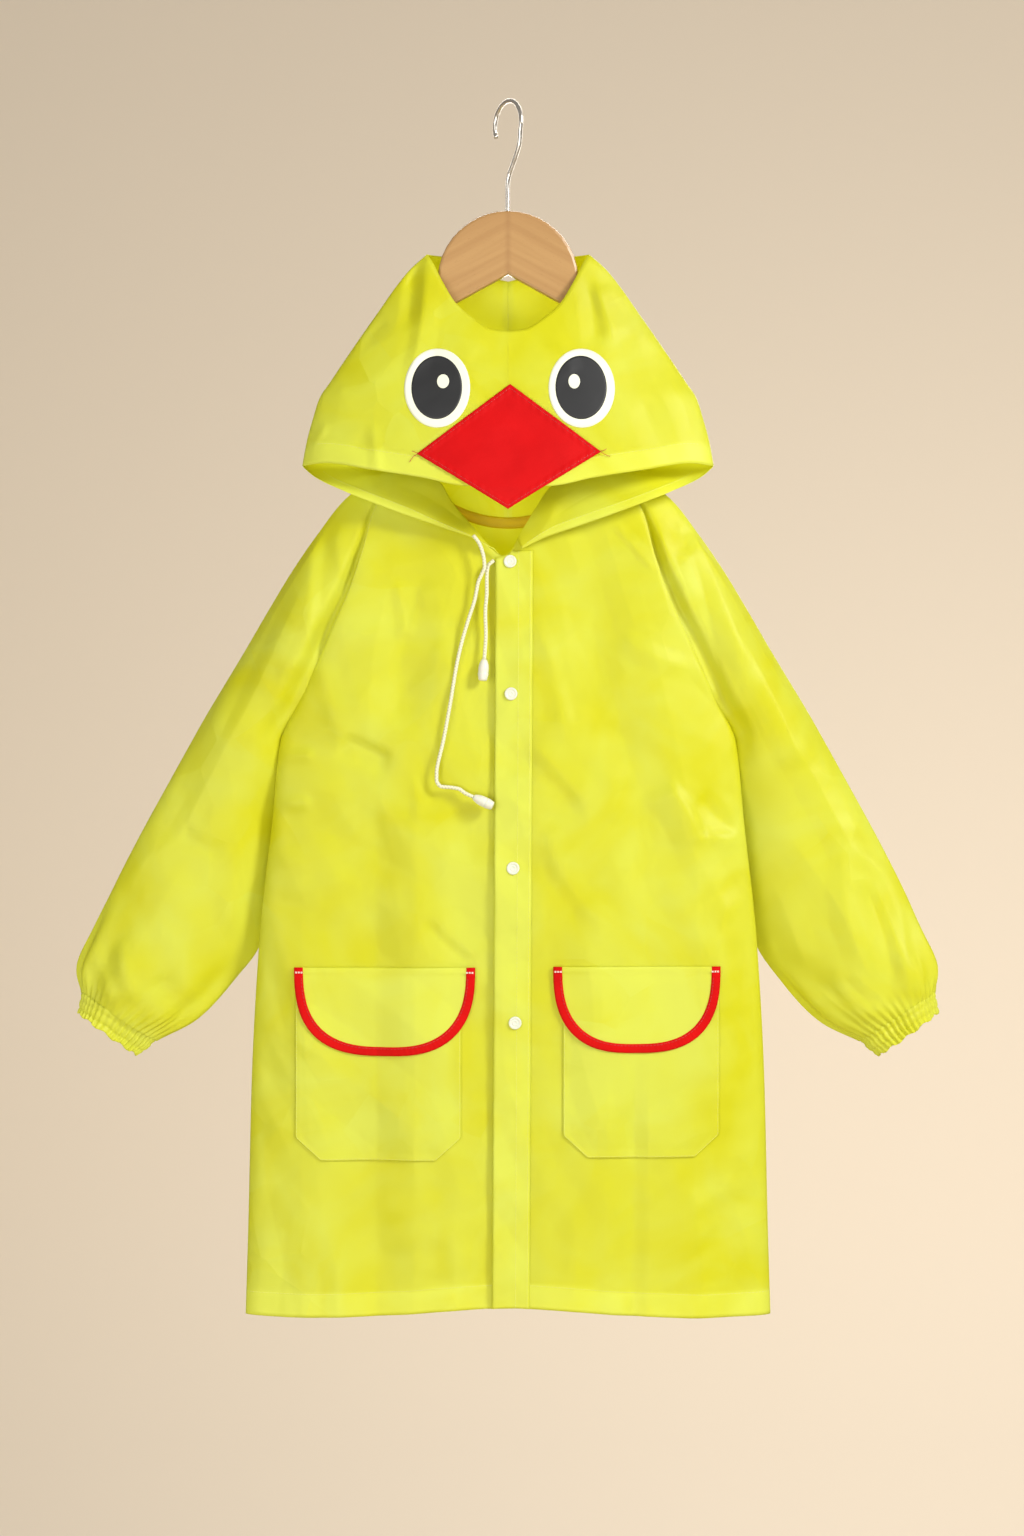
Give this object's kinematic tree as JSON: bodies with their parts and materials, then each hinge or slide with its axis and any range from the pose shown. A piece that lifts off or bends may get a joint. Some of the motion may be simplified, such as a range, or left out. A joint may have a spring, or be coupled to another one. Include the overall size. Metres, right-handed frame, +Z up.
{
  "type": "child's hooded raincoat on a wooden hanger",
  "caption": "Child's knee-length hooded raincoat with raglan sleeves, a snapped placket, flap pockets, an animal-face hood and a drawstring, hanging on a wooden hanger.",
  "frame": {"origin": "inner crown of the hanger's hook, where it rests on a rail", "axes": "+Z up, the coat faces -Y, +X is towards the wearer's left"},
  "size_m": [0.7654, 0.1118, 1.0758],
  "materials": {
    "coated_film_yellow": "thin coated nylon, soft satin sheen",
    "neck_tape": "woven tape",
    "beak_cloth_red": "matte woven cloth",
    "woven_tape_red": "matte woven tape",
    "snap_cap_white": "smooth",
    "braided_cord": "braided, matte",
    "cord_end_plastic": "smooth",
    "beech_wood": "clear satin lacquer",
    "plated_wire": "polished"
  },
  "bodies": {
    "root": {"front_right": "coated_film_yellow", "front_left": "coated_film_yellow", "back": "coated_film_yellow", "placket": "coated_film_yellow", "neck_band": "neck_tape", "sleeve_upper_right": "coated_film_yellow", "sleeve_upper_left": "coated_film_yellow", "sleeve_lower_right": "coated_film_yellow", "sleeve_lower_left": "coated_film_yellow", "cuff_right": "coated_film_yellow", "cuff_left": "coated_film_yellow", "hood_right": "coated_film_yellow", "hood_left": "coated_film_yellow", "beak": "beak_cloth_red", "pocket_right": "coated_film_yellow", "pocket_left": "coated_film_yellow", "flap_right": "coated_film_yellow", "flap_left": "coated_film_yellow", "binding_right": "woven_tape_red", "binding_left": "woven_tape_red", "snap_1": "snap_cap_white", "snap_2": "snap_cap_white", "snap_3": "snap_cap_white", "snap_4": "snap_cap_white", "cord_long": "braided_cord", "cord_short": "braided_cord", "cord_end_long": "cord_end_plastic", "cord_end_short": "cord_end_plastic", "hanger_body": "beech_wood", "hanger_hook": "plated_wire"}
  },
  "joints": []
}
